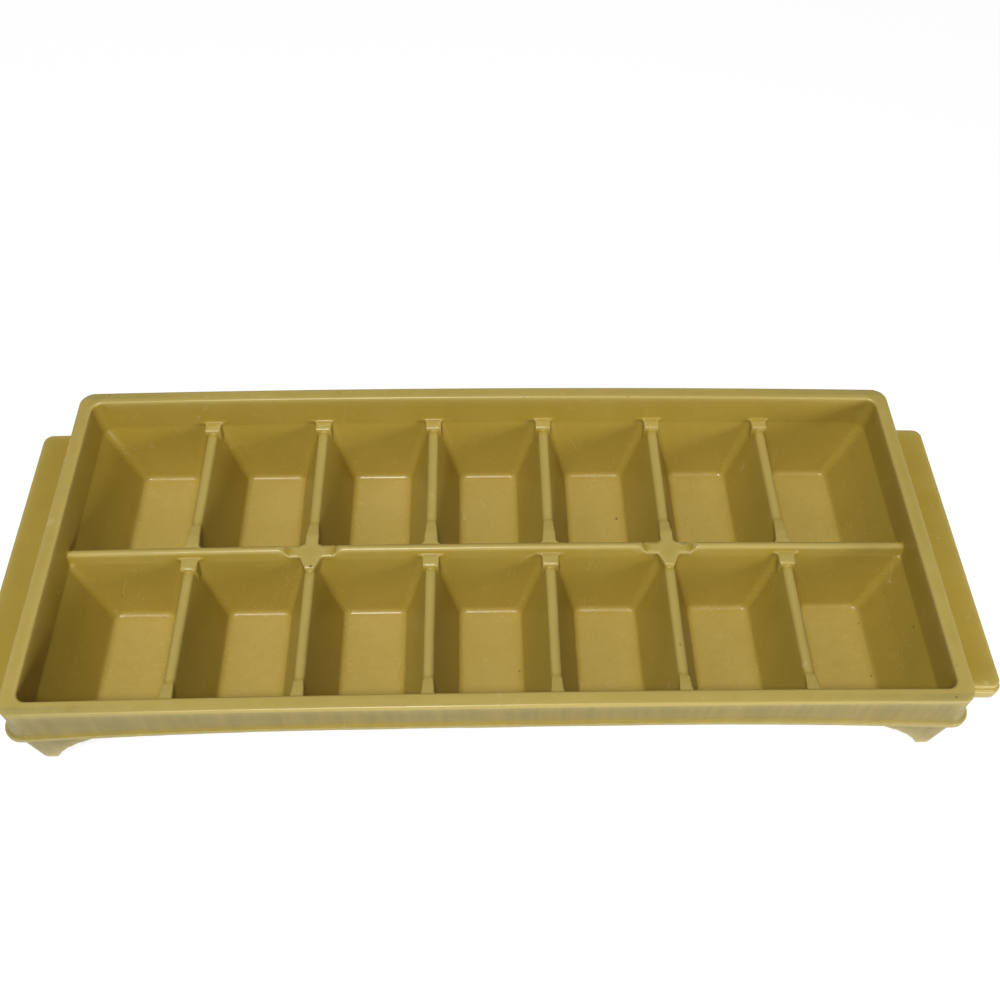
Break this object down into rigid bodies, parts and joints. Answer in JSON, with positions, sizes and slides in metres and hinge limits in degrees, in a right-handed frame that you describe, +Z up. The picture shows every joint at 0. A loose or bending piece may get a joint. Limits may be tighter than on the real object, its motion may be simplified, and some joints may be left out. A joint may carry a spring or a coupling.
{
  "type": "twist ice cube tray",
  "caption": "One-piece plastic ice cube tray with two rows of tapered cells, a skirted rim, two end tabs to twist it by and four corner feet.",
  "frame": {"origin": "middle of the plane that the four feet stand on", "axes": "+X along the tray towards the right end tab, +Y towards the rear long side, +Z up out of the cells"},
  "size_m": [0.3094, 0.1214, 0.038],
  "materials": {
    "tray_plastic": "semi-gloss moulded polyolefin, mustard gold, lightly scratched"
  },
  "bodies": {
    "root": {"cell_front_1": "tray_plastic", "cell_front_2": "tray_plastic", "cell_front_3": "tray_plastic", "cell_front_4": "tray_plastic", "cell_front_5": "tray_plastic", "cell_front_6": "tray_plastic", "cell_front_7": "tray_plastic", "cell_rear_1": "tray_plastic", "cell_rear_2": "tray_plastic", "cell_rear_3": "tray_plastic", "cell_rear_4": "tray_plastic", "cell_rear_5": "tray_plastic", "cell_rear_6": "tray_plastic", "cell_rear_7": "tray_plastic", "centre_divider_left": "tray_plastic", "centre_divider_middle": "tray_plastic", "centre_divider_right": "tray_plastic", "corner_foot_front_left": "tray_plastic", "corner_foot_front_right": "tray_plastic", "corner_foot_rear_left": "tray_plastic", "corner_foot_rear_right": "tray_plastic", "cross_divider_front_1": "tray_plastic", "cross_divider_front_2": "tray_plastic", "cross_divider_front_3": "tray_plastic", "cross_divider_front_4": "tray_plastic", "cross_divider_front_5": "tray_plastic", "cross_divider_front_6": "tray_plastic", "cross_divider_rear_1": "tray_plastic", "cross_divider_rear_2": "tray_plastic", "cross_divider_rear_3": "tray_plastic", "cross_divider_rear_4": "tray_plastic", "cross_divider_rear_5": "tray_plastic", "cross_divider_rear_6": "tray_plastic", "end_tab_left": "tray_plastic", "end_tab_right": "tray_plastic", "rim_front": "tray_plastic", "rim_left": "tray_plastic", "rim_rear": "tray_plastic", "rim_right": "tray_plastic", "skirt_front": "tray_plastic", "skirt_left": "tray_plastic", "skirt_rear": "tray_plastic", "skirt_right": "tray_plastic", "star_land_left": "tray_plastic", "star_land_right": "tray_plastic"}
  },
  "joints": []
}
